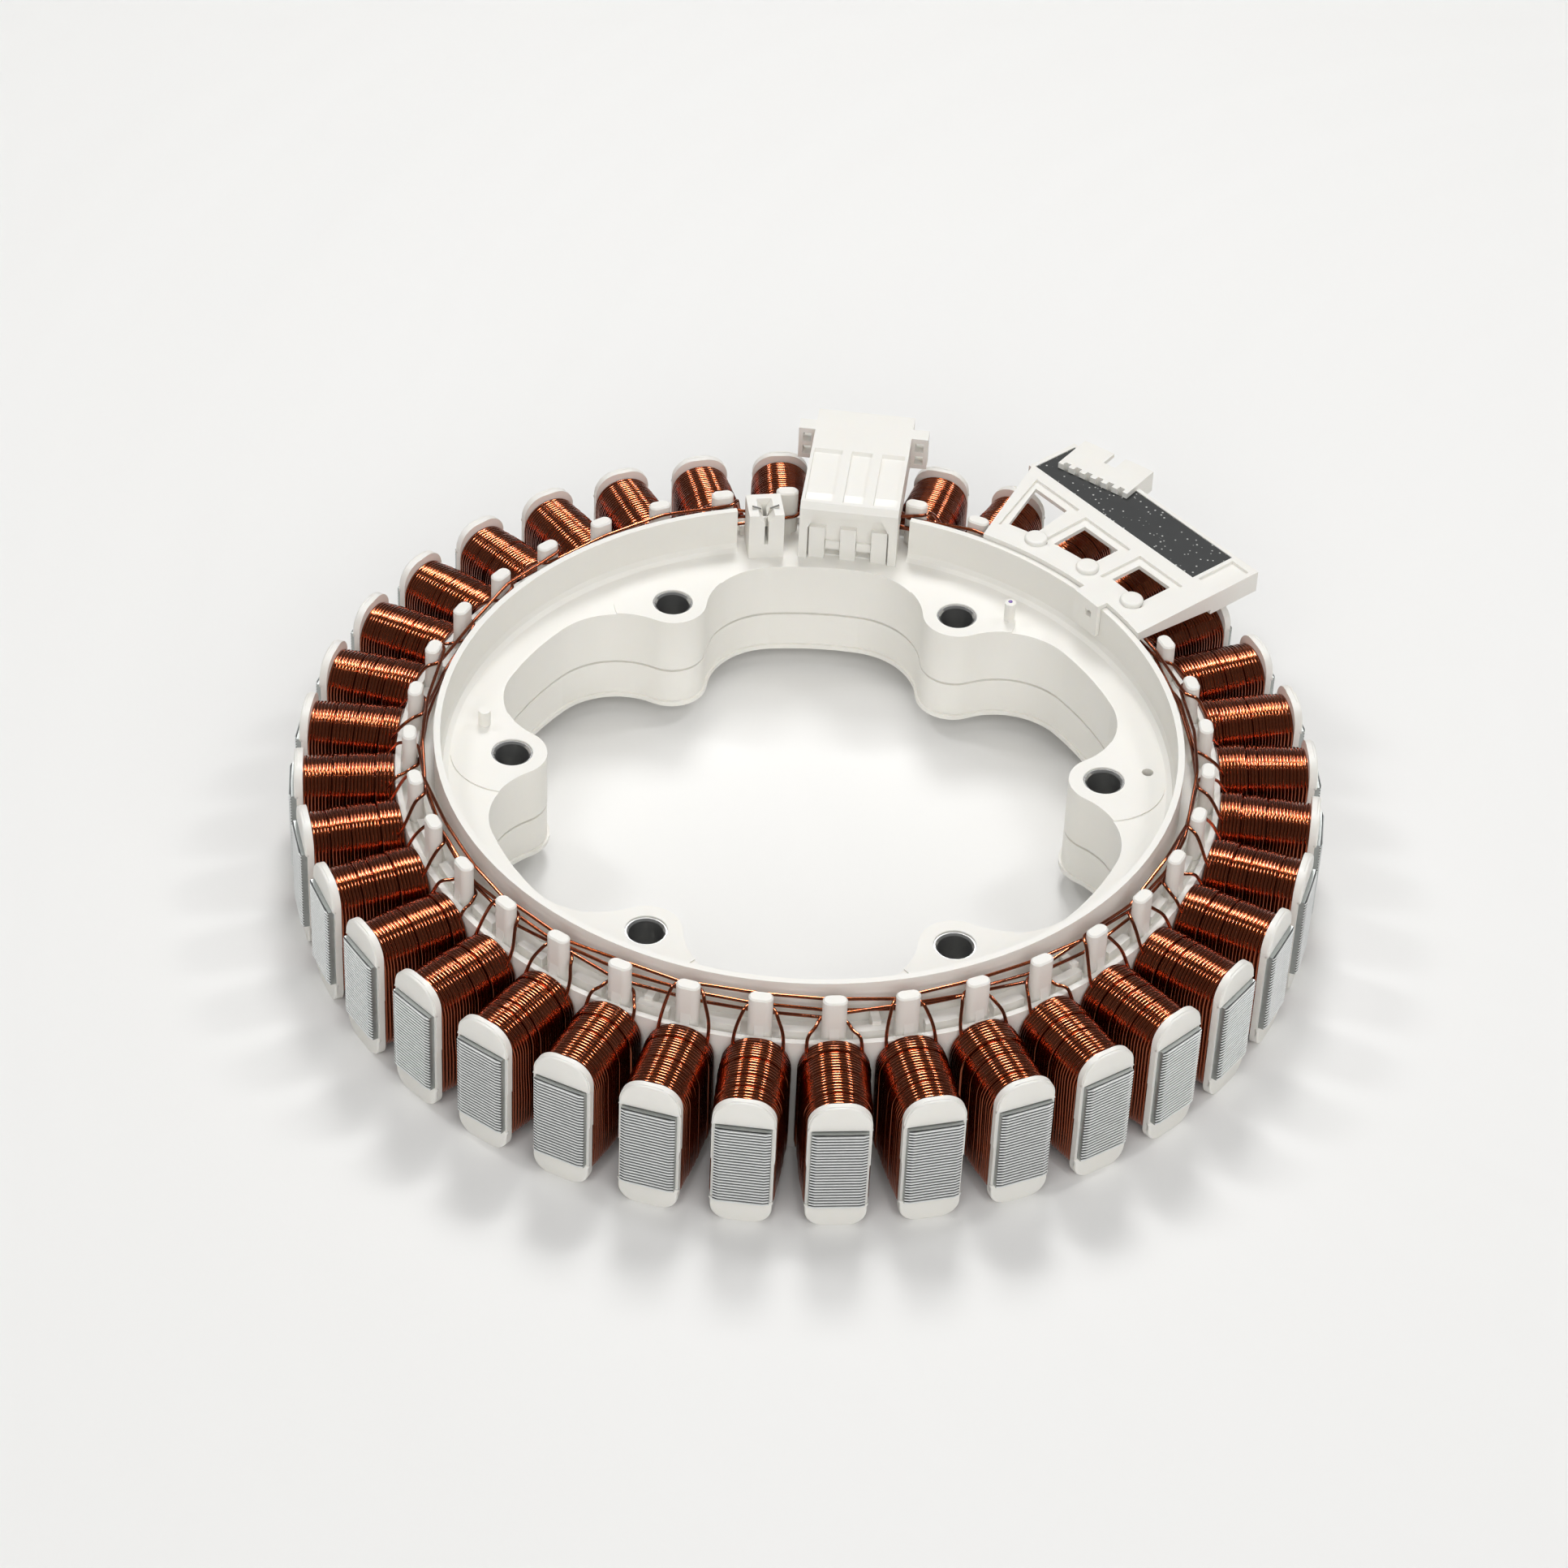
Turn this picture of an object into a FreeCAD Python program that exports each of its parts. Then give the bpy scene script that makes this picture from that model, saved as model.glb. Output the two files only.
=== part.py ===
import FreeCAD, Part
import math
import os
from FreeCAD import Placement, Rotation, Vector

# Wound stator of an outer-rotor direct-drive motor, in millimetres.
# Origin: centre of the bolt circle on the mounting face (underside of the bosses), +Z up.

# --- driving dimensions -----------------------------------------------------
TEETH = 36                      # teeth, coils and posts, evenly spaced
TOOTH_ANGLE = 5.0               # direction of the first tooth from +X, degrees
PHASES = 3
FIRST_COIL = 9                  # tooth index at which the phases begin

BODY_H = 28.0                   # bosses and bushes, face to face
PARTING_Z = 11.8                # joint line of the two insulator halves
BOLTS = 6
BOLT_CIRCLE_R = 77.2
BUSH_R = 5.45
BUSH_BORE_R = 4.4
BUSH_CHAMFER = 0.5
BOSS_NOSE_R = 9.2               # boss nose, concentric with its bolt
BORE_R = 86.0                   # central opening between the bosses
BORE_FILLET_R = 20.0            # sweep between boss nose and opening
WALL = 2.6                      # moulded wall round the opening
RIB = 1.8
GROOVE_H = 0.7                  # groove along the joint line in the opening
GROOVE_D = 0.8
LIP_H = 1.3                     # lip round the lower edge of the opening
LIP_D = 0.7
RIBS_PER_BOLT = 4
PAD_H = 0.4                     # raised pad round each boss
PAD_R = 16.0

CORE_Z0 = 1.0                   # lamination stack
CORE_H = 24.4
YOKE_R0 = 92.5
YOKE_R1 = 106.0
TOOTH_W = 8.6
SHOE_W = 13.8
CORE_R = 134.2
SHOE_R0 = CORE_R - 2.3

SPOOL_R = 107.3                 # outside of the ring wall, inner end of the coils
RING_WALL_R = 105.8
FLANGE_R1 = CORE_R - 1.6
FLANGE_R0 = FLANGE_R1 - 1.7      # outer end of the coils
LINER = 1.0                     # plastic on the flanks of a tooth
LINER_TOP = 2.1                 # plastic over and under a tooth
FLANGE_TOP_W = 15.6
FLANGE_TOP_Z = 32.8
FLANGE_TOP_ROUND = 6.0
FLANGE_LOW_W = 15.2
FLANGE_LOW_Z = -6.1
FLANGE_LOW_ROUND = 4.5
FLANGE_PARTING_Z = 13.5
RING_TOP_Z = 30.0
RING_LOW_Z = -5.0
LEDGE_R = 101.6
LEDGE_W = 2.4
LEDGE_TOP_Z = 30.8
WIRE_GATE = 9.6                 # opening of the ledge at each post

COIL_W0 = 16.6                  # coil width at the yoke, middle and flange
COIL_W1 = 17.4
COIL_W2 = 16.6
COIL_MID_R = FLANGE_R0 - 14.9
COIL_TOP_Z = 31.5
COIL_LOW_Z = -5.0
COIL_TOP_ROUND = 8.0
COIL_LOW_ROUND = 6.0

RIM_R0 = 95.5
RIM_R1 = 97.2
RIM_TOP_Z = 40.6
RIM_FILLET = 2.0
RIM_GAP_FROM = 74.9             # rim gap for the connector, degrees
RIM_GAP_TO = 103.5

POST_R = 103.4
POST_W = 6.1
POST_D = 3.7
POST_TOP_Z = 41.2
POST_FOOT = 1.0
POST_CHAMFER = 0.4
STUB_ANGLES = (-79.0, -111.0, -48.0)
STUB_R = 99.6
STUB_SIZE = (3.4, 2.2, 4.0)
PEGS = ((85.0, 51.6, 1.5, 6.0), (86.0, 172.5, 1.6, 5.0))   # radius, angle, peg radius, height
PEG_HOLE = (88.8, 2.7, 1.5)

WIRE_R = 0.45
WIRE_BACK_R = 100.4             # crossover wires run behind the posts
WIRE_LOW_Z = 32.6
WIRE_STEP_Z = 1.2
WIRE_NEST = 1.15                # spacing of the end leads, side by side
LEAD_Y = 5.4

PLUG_ANGLE = 84.8               # power connector
PLUG_FRONT = 89.5
PLUG_FOOT_D = 7.5
PLUG_BACK = 135.0
PLUG_W = 27.0
PLUG_TOP_Z = 46.0
PLUG_UNDER_Z = 36.0
PLUG_WINDOW_W = 22.4
PLUG_WINDOW_H = 14.6
PLUG_WINDOW_CUT = 4.2
PLUG_WINDOW_D = 2.2
PLUG_PANEL_D = 0.9              # recess of the three top panels
PLUG_PANEL_X = (92.3, 116.4)
PLUG_RIBS_Y = (-4.9, 3.5)
PLUG_RIB_W = 2.7
PLUG_TONGUE_W = 4.3
PLUG_TONGUE_H = 10.3
WAY_PITCH = 8.6                 # three ways, side by side
WAY_W = 6.6
WAY_H = 6.6
WAY_DEPTH = 24.0
WAY_Z = 40.6
WING_X = 125.0
WING_T = 4.5
WING_W = 3.4
BLADE_W = 4.8
BLADE_T = 0.8
BLADE_L = 18.0

STAR_ANGLE = 99.0               # star-point terminal block
STAR_FRONT = 90.4
STAR_D = 10.0
STAR_W = 9.6
STAR_TOP_Z = 42.3
STAR_SLOT_W = 1.1
CRIMP_W = 7.4
CRIMP_T = 0.8

HOLDER_ANGLE = 41.5             # position-sensor holder
HOLDER_TOP_Z = 42.0
HOLDER_T = 2.0
HOLDER_R0 = RIM_R1 + 0.15
HOLDER_BACK = 139.2
HOLDER_RIGHT = 23.0
HOLDER_LEFT = -50.9
HOLDER_SKIRT = 1.2
HOLDER_LEAN = 0.4825            # slant of the left side
HOLDER_LEAN_X = 124.2
TRAY_X0 = 123.2
TRAY_X1 = 138.0
TRAY_Y0 = -14.0
TRAY_Y1 = 49.5
TRAY_LOW_Z = 35.6
TRAY_FLOOR = 1.4
WINDOW_R = 106.0
WINDOW_X0 = 100.0
WINDOW_X1 = 116.0
WINDOW_RIM = 2.4                # lowered border round each window
WINDOW_STEP = 0.8
CLIP_ANGLES = (36.6, 42.2)      # clip of the holder over the rim
CLIP_T = 1.4
CLIP_LOW_Z = 32.0
BOARD_T = 1.6
RESIN_TOP_Z = 41.7
STAKE_HEAD_R = 3.2
STAKE_HEAD_H = 1.2
STAKED_TEETH = (3, 4, 5)        # teeth whose posts carry the holder
FIT = 0.15                      # clearance between assembled plastic parts
SENSOR_SIZE = (3.0, 4.0, 1.5)
SENSOR_X = 132.0

JACK_ANGLE = 55.0               # sensor connector
JACK_X0 = 135.2
JACK_X1 = 148.6
JACK_Y0 = -8.5
JACK_Y1 = 14.4
JACK_Z0 = 36.8
JACK_TOP_Z = 43.4
JACK_PINS = 5
JACK_PIN_PITCH = 3.6
JACK_TOOTH = 1.5

# --- derived places ---------------------------------------------------------
TOOTH_PITCH = 360.0 / TEETH
BOLT_PITCH = 360.0 / BOLTS
CORE_Z1 = CORE_Z0 + CORE_H
LINER_HALF = TOOTH_W / 2 + LINER
LINER_Z1 = CORE_Z1 + LINER_TOP
LINER_Z0 = CORE_Z0 - LINER_TOP
SHELF_R = YOKE_R0 - 1.8         # inner face of the wall inside the yoke
TRAY_FLOOR_Z = TRAY_LOW_Z + TRAY_FLOOR
BOARD_TOP_Z = TRAY_FLOOR_Z + BOARD_T
UP = Vector(0, 0, 1)


# --- helpers ----------------------------------------------------------------
def polar(radius, angle, z=0.0):
    """Point at a radius and an angle in degrees."""
    a = math.radians(angle)
    return Vector(radius * math.cos(a), radius * math.sin(a), z)


def turned(shape, angle):
    """Copy of a shape turned about the motor axis."""
    copy = shape.copy()
    copy.rotate(Vector(0, 0, 0), UP, angle)
    return copy


def box(x0, x1, y0, y1, z0, z1):
    """Box between two corners."""
    return Part.makeBox(x1 - x0, y1 - y0, z1 - z0, Vector(x0, y0, z0))


def disc(radius, z0, z1, x=0.0, y=0.0):
    """Upright cylinder between two heights."""
    return Part.makeCylinder(radius, z1 - z0, Vector(x, y, z0))


def ring(r0, r1, z0, z1):
    """Upright tube between two radii and two heights."""
    return disc(r1, z0, z1).cut(disc(r0, z0 - 1, z1 + 1))


def prism(points, z0, z1):
    """Upright prism over a closed outline of (x, y) points."""
    vectors = [Vector(x, y, z0) for x, y in points]
    face = Part.Face(Part.makePolygon(vectors + vectors[:1]))
    return face.extrude(Vector(0, 0, z1 - z0))


def side_prism(points, y0, y1):
    """Prism over a closed outline of (x, z) points, between two y values."""
    vectors = [Vector(x, y0, z) for x, z in points]
    face = Part.Face(Part.makePolygon(vectors + vectors[:1]))
    return face.extrude(Vector(0, y1 - y0, 0))


def end_prism(points, x0, x1):
    """Prism over a closed outline of (y, z) points, between two radii."""
    vectors = [Vector(x0, y, z) for y, z in points]
    face = Part.Face(Part.makePolygon(vectors + vectors[:1]))
    return face.extrude(Vector(x1 - x0, 0, 0))


def arc(start, middle, end):
    """Edge through three points."""
    return Part.Arc(start, middle, end).toShape()


def tooth_angle(index):
    """Direction of a tooth in degrees."""
    return TOOTH_ANGLE + TOOTH_PITCH * index


def bore_outline(inset, z):
    """Outline of the central opening, moved outward into the wall by an inset."""
    nose = BOSS_NOSE_R - inset
    sweep = BORE_FILLET_R + inset
    wide = BORE_R + inset
    reach = BORE_R - BORE_FILLET_R
    cosine = BOLT_CIRCLE_R ** 2 + reach ** 2 - (BOSS_NOSE_R + BORE_FILLET_R) ** 2
    off = math.degrees(math.acos(cosine / (2 * BOLT_CIRCLE_R * reach)))
    edges = []
    for index in range(BOLTS):
        axis = BOLT_PITCH * index
        bolt = polar(BOLT_CIRCLE_R, axis, z)
        ends = []
        for side in (-1, 1):
            centre = polar(reach, axis + side * off, z)
            toward = (bolt - centre).normalize()
            outward = polar(1.0, axis + side * off)
            near = centre + toward * sweep
            far = centre + outward * sweep
            middle = centre + (toward + outward).normalize() * sweep
            edges.append(arc(near, middle, far))
            ends.append((near, far))
        edges.append(arc(ends[0][0], bolt - polar(nose, axis), ends[1][0]))
        following = polar(wide, axis + BOLT_PITCH - off, z)
        edges.append(arc(ends[1][1], polar(wide, axis + BOLT_PITCH / 2, z), following))
    return Part.Wire(Part.__sortEdges__(edges))


def plate_round_bore(inset, radius, z0, z1):
    """Plate between the opening's outline and a circle."""
    outer = Part.Wire(Part.makeCircle(radius, Vector(0, 0, z0)))
    face = Part.Face([outer, bore_outline(inset, z0)])
    return face.extrude(Vector(0, 0, z1 - z0))


def round_section(width, z0, z1, low_round, top_round, x):
    """Closed wire of an upright rounded rectangle across a tooth, at a radius."""
    half = width / 2
    corners = ((half, z0, low_round), (half, z1, top_round))
    points = []
    for y, z, r in corners:
        step = r if z == z0 else -r
        k = r * (1 - math.sqrt(0.5))
        sign = 1 if z == z0 else -1
        run = (Vector(x, y - r, z), Vector(x, y - k, z + sign * k), Vector(x, y, z + step))
        points.append(run)
    (a0, a1, a2), (b0, b1, b2) = points

    def mirror(v):
        return Vector(v.x, -v.y, v.z)

    edges = [arc(a0, a1, a2), Part.makeLine(a2, b2), arc(b2, b1, b0)]
    edges += [Part.makeLine(b0, mirror(b0)), arc(mirror(b0), mirror(b1), mirror(b2))]
    edges += [Part.makeLine(mirror(b2), mirror(a2)), arc(mirror(a2), mirror(a1), mirror(a0))]
    edges.append(Part.makeLine(mirror(a0), a0))
    return Part.Wire(edges)


def tube(points, radius):
    """Round wire along straight runs."""
    path = Part.makePolygon(points)
    section = Part.Wire(Part.makeCircle(radius, points[0], points[1] - points[0]))
    sweep = Part.BRepOffsetAPI.MakePipeShell(path)
    sweep.setTransitionMode(1)
    sweep.add(section)
    sweep.build()
    sweep.makeSolid()
    return sweep.shape()


def write(node, shape):
    """Write one node as STEP."""
    shape.exportStep(os.path.join("parts", node + ".step"))


# --- lamination core --------------------------------------------------------
def core_outline(z):
    """Outline of one strip turn: yoke back with all teeth."""
    edges = []
    half, shoe = TOOTH_W / 2, SHOE_W / 2
    root = math.degrees(math.asin(half / YOKE_R1))
    tip = math.degrees(math.asin(shoe / CORE_R))
    foot = math.sqrt(YOKE_R1 ** 2 - half ** 2)
    corner = math.sqrt(CORE_R ** 2 - shoe ** 2)
    for index in range(TEETH):
        turn = Rotation(UP, tooth_angle(index))
        flank = [(foot, half), (SHOE_R0 - 0.9, half), (SHOE_R0, shoe), (corner, shoe)]
        left = [turn.multVec(Vector(x, -y, z)) for x, y in flank]
        right = [turn.multVec(Vector(x, y, z)) for x, y in flank]
        for side in (left, right):
            edges += [Part.makeLine(a, b) for a, b in zip(side, side[1:])]
        edges.append(arc(left[-1], turn.multVec(Vector(CORE_R, 0, z)), right[-1]))
        between = tooth_angle(index) + TOOTH_PITCH / 2
        onward = polar(YOKE_R1, between + TOOTH_PITCH / 2 - root, z)
        edges.append(arc(right[0], polar(YOKE_R1, between, z), onward))
    return Part.Wire(Part.__sortEdges__(edges)), tip


def lamination_core():
    """Helically wound strip: yoke ring, teeth and pole shoes."""
    outline, _ = core_outline(CORE_Z0)
    inner = Part.Wire(Part.makeCircle(YOKE_R0, Vector(0, 0, CORE_Z0)))
    return Part.Face([outline, inner]).extrude(Vector(0, 0, CORE_H))


# --- insulator halves -------------------------------------------------------
def boss_tubes(z0, z1):
    """Solid bosses round the bolts, reaching out to the wall inside the yoke."""
    one = disc(BOSS_NOSE_R, z0, z1, BOLT_CIRCLE_R)
    rib = box(BOLT_CIRCLE_R, SHELF_R + 0.5, -RIB / 2, RIB / 2, z0, z1)
    bosses = one.fuse(rib)
    return [turned(bosses, BOLT_PITCH * k) for k in range(BOLTS)]


def body_ribs(z0, z1):
    """Radial ribs between the opening's wall and the wall inside the yoke."""
    rib = box(BORE_R + WALL / 2, SHELF_R + 0.5, -RIB / 2, RIB / 2, z0, z1)
    step = BOLT_PITCH / (RIBS_PER_BOLT + 1)
    out = []
    for k in range(BOLTS):
        for j in range(1, RIBS_PER_BOLT + 1):
            out.append(turned(rib, BOLT_PITCH * k + step * j))
    return out


def body_shell(z0, z1, floor_z0, floor_z1):
    """Hollow ring body of one half: walls, floor, bosses and ribs."""
    body = plate_round_bore(0.0, SPOOL_R, z0, z1)
    hollow = plate_round_bore(WALL, SHELF_R, floor_z0, floor_z1)
    hollow = hollow.cut(Part.makeCompound(boss_tubes(z0, z1) + body_ribs(z0, z1)))
    yoke = ring(YOKE_R0, YOKE_R1, max(CORE_Z0, z0 - 1), min(CORE_Z1, z1 + 1))
    holes = [turned(disc(BUSH_R, z0 - 1, z1 + 1, BOLT_CIRCLE_R), BOLT_PITCH * k) for k in range(BOLTS)]
    groove = Part.Face(bore_outline(GROOVE_D, PARTING_Z - GROOVE_H / 2)).extrude(Vector(0, 0, GROOVE_H))
    return body.cut(Part.makeCompound([hollow, yoke, groove] + holes))


def spool(z0, z1, section):
    """Insulation of one tooth: liner channel and end flange."""
    liner = box(YOKE_R1 + 0.3, FLANGE_R0 + 0.5, -LINER_HALF, LINER_HALF, z0, z1)
    flange = Part.Face(section).extrude(Vector(FLANGE_R1 - FLANGE_R0, 0, 0))
    steel = box(RING_WALL_R - 1, SHOE_R0, -TOOTH_W / 2, TOOTH_W / 2, CORE_Z0, CORE_Z1)
    slope = [(SHOE_R0 - 0.9, -TOOTH_W / 2), (SHOE_R0, -SHOE_W / 2), (CORE_R, -SHOE_W / 2)]
    shoe = prism(slope + [(x, -y) for x, y in reversed(slope)], CORE_Z0, CORE_Z1)
    return liner.fuse(flange).cut(steel.fuse(shoe))


def on_teeth(shape):
    """One copy of a shape at each tooth."""
    return [turned(shape, tooth_angle(k)) for k in range(TEETH)]


def rim():
    """Thin collar that keeps the wires out, open where the connector stands."""
    profile = [(RIM_R0, BODY_H - 0.5), (RIM_R1, BODY_H - 0.5), (RIM_R1, RIM_TOP_Z)]
    profile += [(RIM_R0, RIM_TOP_Z), (RIM_R0, BODY_H + RIM_FILLET)]
    profile += [(RIM_R0 - RIM_FILLET * 0.3, BODY_H + RIM_FILLET * 0.3)]
    profile += [(RIM_R0 - RIM_FILLET, BODY_H), (RIM_R0 - RIM_FILLET, BODY_H - 0.5)]
    vectors = [Vector(x, 0, z) for x, z in profile]
    face = Part.Face(Part.makePolygon(vectors + vectors[:1]))
    sweep = 360.0 - (RIM_GAP_TO - RIM_GAP_FROM)
    return turned(face.revolve(Vector(0, 0, 0), UP, sweep), RIM_GAP_TO)


def post(top_z):
    """Wire post with a flared foot."""
    half = POST_W / 2 - POST_D / 2
    stem = box(-POST_D / 2, POST_D / 2, -half, half, BODY_H - 0.5, top_z)
    for y in (-half, half):
        stem = stem.fuse(disc(POST_D / 2, BODY_H - 0.5, top_z, 0, y))
    foot = [(-POST_D / 2 - POST_FOOT, BODY_H - 0.5), (POST_D / 2 + POST_FOOT, BODY_H - 0.5)]
    foot += [(POST_D / 2, RING_TOP_Z + 3), (-POST_D / 2, RING_TOP_Z + 3)]
    stem = stem.fuse(side_prism(foot, -half, half)).removeSplitter()
    stem = stem.makeChamfer(POST_CHAMFER, [e for e in stem.Edges if e.BoundBox.ZMin > top_z - 0.01])
    stem.translate(Vector(POST_R, 0, 0))
    return stem


def ledges():
    """Low wall between the posts, with a gate for the wires at each post."""
    low = ring(LEDGE_R, LEDGE_R + LEDGE_W, BODY_H - 0.5, LEDGE_TOP_Z)
    gate = box(LEDGE_R - 1, LEDGE_R + LEDGE_W + 1, -WIRE_GATE / 2, WIRE_GATE / 2, BODY_H, LEDGE_TOP_Z + 1)
    return low.cut(Part.makeCompound(on_teeth(gate)))


def star_block():
    """Pocket block for the star-point terminal."""
    block = box(STAR_FRONT, STAR_FRONT + STAR_D, -STAR_W / 2, STAR_W / 2, BODY_H - 0.5, STAR_TOP_Z)
    slot_z = BODY_H + 4.5
    slot = box(STAR_FRONT - 1, STAR_FRONT + STAR_D - 2, -STAR_SLOT_W / 2, STAR_SLOT_W / 2, slot_z, STAR_TOP_Z + 1)
    funnel = [(-2.2, STAR_TOP_Z + 0.1), (2.2, STAR_TOP_Z + 0.1), (0.3, STAR_TOP_Z - 3), (-0.3, STAR_TOP_Z - 3)]
    mouth = end_prism(funnel, STAR_FRONT - 1, STAR_FRONT + STAR_D - 2)
    seat = box(STAR_FRONT + 3.2, STAR_FRONT + 3.2 + CRIMP_T, -CRIMP_W / 2, CRIMP_W / 2, slot_z, STAR_TOP_Z + 1)
    return turned(block.cut(slot.fuse(mouth).fuse(seat)), STAR_ANGLE)


def holder_posts():
    """Taller posts that pass through the sensor holder, with staked heads."""
    out = []
    for k in STAKED_TEETH:
        stem = post(HOLDER_TOP_Z + 0.2)
        head = disc(STAKE_HEAD_R, HOLDER_TOP_Z, HOLDER_TOP_Z + STAKE_HEAD_H, POST_R)
        top_edges = [e for e in head.Edges if e.BoundBox.ZMin > HOLDER_TOP_Z + STAKE_HEAD_H - 0.01]
        head = head.makeFillet(STAKE_HEAD_H * 0.6, top_edges)
        out.append(turned(stem.fuse(head), tooth_angle(k)))
    return out


def upper_insulator():
    """Upper moulding: ring body, collar, posts, terminal block and tooth caps."""
    body = body_shell(PARTING_Z, BODY_H, PARTING_Z - 1, CORE_Z1)
    section = round_section(FLANGE_TOP_W, FLANGE_PARTING_Z, FLANGE_TOP_Z, 0.2, FLANGE_TOP_ROUND, FLANGE_R0)
    spools = on_teeth(spool(FLANGE_PARTING_Z, LINER_Z1, section))
    plain = [k for k in range(TEETH) if k not in STAKED_TEETH and k != FIRST_COIL - 1]
    stem = post(POST_TOP_Z)
    posts = [turned(stem, tooth_angle(k)) for k in plain] + holder_posts()
    ring_wall = ring(RING_WALL_R, SPOOL_R, BODY_H - 0.5, RING_TOP_Z)
    pads = []
    for k in range(BOLTS):
        pad = disc(PAD_R, BODY_H - 0.2, BODY_H + PAD_H, BOLT_CIRCLE_R)
        pads.append(turned(pad, BOLT_PITCH * k))
    pads = [p.common(plate_round_bore(0.0, RIM_R0 - RIM_FILLET, BODY_H - 1, BODY_H + 1)) for p in pads]
    pegs = []
    for radius, angle, peg_r, height in PEGS:
        pegs.append(turned(disc(peg_r, BODY_H - 0.5, BODY_H + height, radius), angle))
    depth, width, height = STUB_SIZE
    stub = box(STUB_R - depth / 2, LEDGE_R + 0.5, -width / 2, width / 2, BODY_H - 0.5, BODY_H + height)
    stubs = [turned(stub, angle) for angle in STUB_ANGLES]
    pieces = spools + posts + pads + pegs + stubs + [ring_wall, ledges(), rim(), star_block()]
    whole = body.multiFuse(pieces)
    tooth_ways = [box(YOKE_R1 - 0.5, SPOOL_R + 1, -TOOTH_W / 2, TOOTH_W / 2, 0, CORE_Z1)]
    tooth_ways = on_teeth(tooth_ways[0])
    radius, angle, hole_r = PEG_HOLE
    hole = turned(disc(hole_r, CORE_Z1 - 1, BODY_H + 2, radius), angle)
    bolts = [turned(disc(BUSH_R, 0, BODY_H + 2, BOLT_CIRCLE_R), BOLT_PITCH * k) for k in range(BOLTS)]
    return whole.cut(Part.makeCompound(tooth_ways + bolts + [hole]))


def lower_insulator():
    """Lower moulding: ring body and the lower halves of the tooth spools."""
    body = body_shell(0.0, PARTING_Z, CORE_Z0 + 1.0, PARTING_Z + 1)
    tray = ring(SHELF_R, SPOOL_R, LINER_Z0, CORE_Z0)
    ring_wall = ring(RING_WALL_R, SPOOL_R, RING_LOW_Z, 1.0)
    section = round_section(FLANGE_LOW_W, FLANGE_LOW_Z, FLANGE_PARTING_Z, FLANGE_LOW_ROUND, 0.2, FLANGE_R0)
    spools = on_teeth(spool(LINER_Z0, FLANGE_PARTING_Z, section))
    lip = Part.Face(bore_outline(0.5, 0.0)).extrude(Vector(0, 0, LIP_H))
    lip = lip.cut(Part.Face(bore_outline(-LIP_D, 0.0)).extrude(Vector(0, 0, LIP_H)))
    whole = body.multiFuse(spools + [tray, ring_wall, lip])
    way = box(YOKE_R1 - 0.5, SPOOL_R + 1, -TOOTH_W / 2, TOOTH_W / 2, CORE_Z0, CORE_Z1)
    above = ring(SHELF_R, SPOOL_R, PARTING_Z, CORE_Z1)
    return whole.cut(Part.makeCompound(on_teeth(way) + [above]))


# --- windings ---------------------------------------------------------------
def coil():
    """One coil: the closed bundle of turns on a tooth, bulging at its middle."""
    sections = []
    for x, width in ((SPOOL_R, COIL_W0), (COIL_MID_R, COIL_W1), (FLANGE_R0, COIL_W2)):
        sections.append(round_section(width, COIL_LOW_Z, COIL_TOP_Z, COIL_LOW_ROUND, COIL_TOP_ROUND, x))
    bundle = Part.makeLoft(sections, True, True)
    return bundle.cut(box(SPOOL_R - 1, FLANGE_R0 + 1, -LINER_HALF, LINER_HALF, LINER_Z0, LINER_Z1))


def lead(index, side, level):
    """Points of a coil's lead, from the coil past its post to the wire channel."""
    turn = Rotation(UP, tooth_angle(index))
    run = [(SPOOL_R + 1.6, LEAD_Y, COIL_TOP_Z - 1.6), (SPOOL_R - 1.2, LEAD_Y - 0.2, COIL_TOP_Z + 1.0)]
    run.append((POST_R, POST_W / 2 + WIRE_R + 0.5, level + 1.0))
    return [turn.multVec(Vector(x, side * y, z)) for x, y, z in run]


def crossover(index, level):
    """Wire from one coil to the next coil of its phase, behind the posts."""
    start, end = tooth_angle(index), tooth_angle(index + PHASES)
    steps = 6
    gap = 2.2
    points = lead(index, 1, level)
    for k in range(steps + 1):
        angle = start + gap + (end - start - 2 * gap) * k / steps
        points.append(polar(WIRE_BACK_R, angle, level))
    return tube(points + list(reversed(lead(index + PHASES, -1, level))), WIRE_R)


def phase_wires(phase):
    """All crossover wires of one phase with its two end leads."""
    level = WIRE_LOW_Z + WIRE_STEP_Z * phase
    first = FIRST_COIL + phase
    count = TEETH // PHASES
    wires = [crossover(first + PHASES * k, level) for k in range(count - 1)]
    begin = lead(first, -1, level)
    back = WIRE_BACK_R - WIRE_NEST * phase
    leave = tooth_angle(first) - 2.2
    end_angle = STAR_ANGLE + 1.5 * (phase - 1) + 0.4
    for k in range(phase + 2):
        begin.append(polar(back, leave + (end_angle - leave) * k / (phase + 1), level))
    last = first + PHASES * (count - 1)
    finish = lead(last, 1, level)
    finish += [polar(WIRE_BACK_R, tooth_angle(last) + 2.2, level)]
    target = PLUG_ANGLE + 360.0 - WAY_PITCH / 1.9 * (1 - phase)
    finish.append(polar(WIRE_BACK_R, target, PLUG_UNDER_Z - 0.6))
    finish.append(polar(WIRE_BACK_R + 3.0, target, PLUG_UNDER_Z + 2.2))
    return Part.makeCompound(wires + [tube(begin, WIRE_R), tube(finish, WIRE_R)])


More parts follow.
